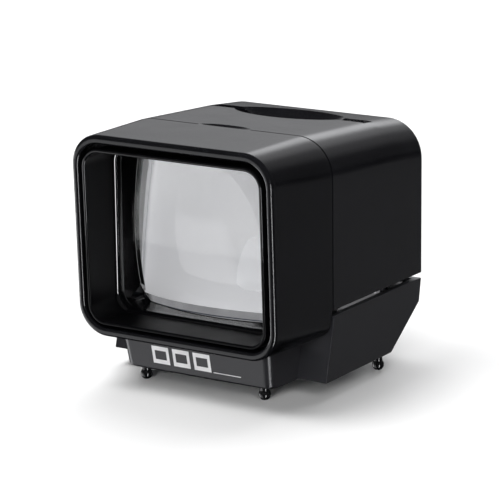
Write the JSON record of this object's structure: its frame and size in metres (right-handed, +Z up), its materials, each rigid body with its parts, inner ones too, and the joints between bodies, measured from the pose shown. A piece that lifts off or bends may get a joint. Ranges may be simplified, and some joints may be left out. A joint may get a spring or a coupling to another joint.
{
  "type": "slide viewer",
  "caption": "Tabletop slide viewer: a rounded black lens hood and rear cover with a slide slot stand on a narrow battery base with small ball feet.",
  "frame": {"origin": "middle of the bounding box's footprint, on the plane the four feet stand on", "axes": "+Z up, the viewing side with the lens faces -Y, +X to the viewer's right"},
  "size_m": [0.071, 0.0761, 0.0725],
  "materials": {
    "hood_plastic": "satin black moulding",
    "inner_plastic": "matt black",
    "cover_plastic": "satin black moulding",
    "base_plastic": "satin black moulding",
    "chassis_plastic": "matt black",
    "acrylic": "clear polished acrylic",
    "white_plastic": "matt white",
    "opal": "opal acrylic",
    "board": "white solder mask",
    "lamp": "clear domes on white cases",
    "foot_rubber": "black rubber",
    "cell_jacket": "plain printed jacket",
    "nickel": "nickel plated",
    "spring_steel": "spring steel",
    "screw_steel": "zinc plated"
  },
  "bodies": {
    "base": {"base_shell": "base_plastic", "base_deck": "white_plastic", "foot_front_left": "foot_rubber", "foot_front_right": "foot_rubber", "foot_rear_left": "foot_rubber", "foot_rear_right": "foot_rubber", "battery_front": "cell_jacket", "battery_rear": "cell_jacket", "contact_bridge": "nickel", "contact_plus": "nickel", "contact_minus": "nickel", "battery_spring_left": "nickel", "battery_spring_right": "nickel", "contact_blade_left": "nickel", "contact_blade_right": "nickel", "deck_screws": "screw_steel", "press_spring_left_front": "spring_steel", "press_spring_left_rear": "spring_steel", "press_spring_right_front": "spring_steel", "press_spring_right_rear": "spring_steel"},
    "housing": {"rear_cover": "cover_plastic", "chassis": "chassis_plastic", "slide_gate": "white_plastic", "diffuser": "opal", "light_box": "white_plastic", "lamp_board": "board", "board_screws": "screw_steel", "led_1": "lamp", "led_2": "lamp", "led_3": "lamp", "led_4": "lamp", "contact_pin_left": "nickel", "contact_pin_right": "nickel", "guide_screws": "screw_steel", "cover_screws": "screw_steel"},
    "hood": {"front_hood": "hood_plastic", "viewing_tunnel": "inner_plastic", "lens_bezel": "inner_plastic", "lens_barrel": "inner_plastic", "magnifier_lens": "acrylic", "lens_retainer": "inner_plastic"},
    "battery_door": {"battery_door": "base_plastic"}
  },
  "joints": [
    {"name": "housing_press", "type": "slide", "parent": "base", "child": "housing", "axis": [0, 0, -1], "range_m": [0, 0.0012], "stiffness_N_per_m": 1200, "springref_m": -0.0025, "deforming": ["press_spring_left_front", "press_spring_left_rear", "press_spring_right_front", "press_spring_right_rear"]},
    {"name": "hood_pull", "type": "slide", "parent": "housing", "child": "hood", "axis": [0, -1, 0], "range_m": [0, 0.024]},
    {"name": "battery_door_slide", "type": "slide", "parent": "base", "child": "battery_door", "axis": [0, 1, 0], "range_m": [0, 0.034]}
  ]
}
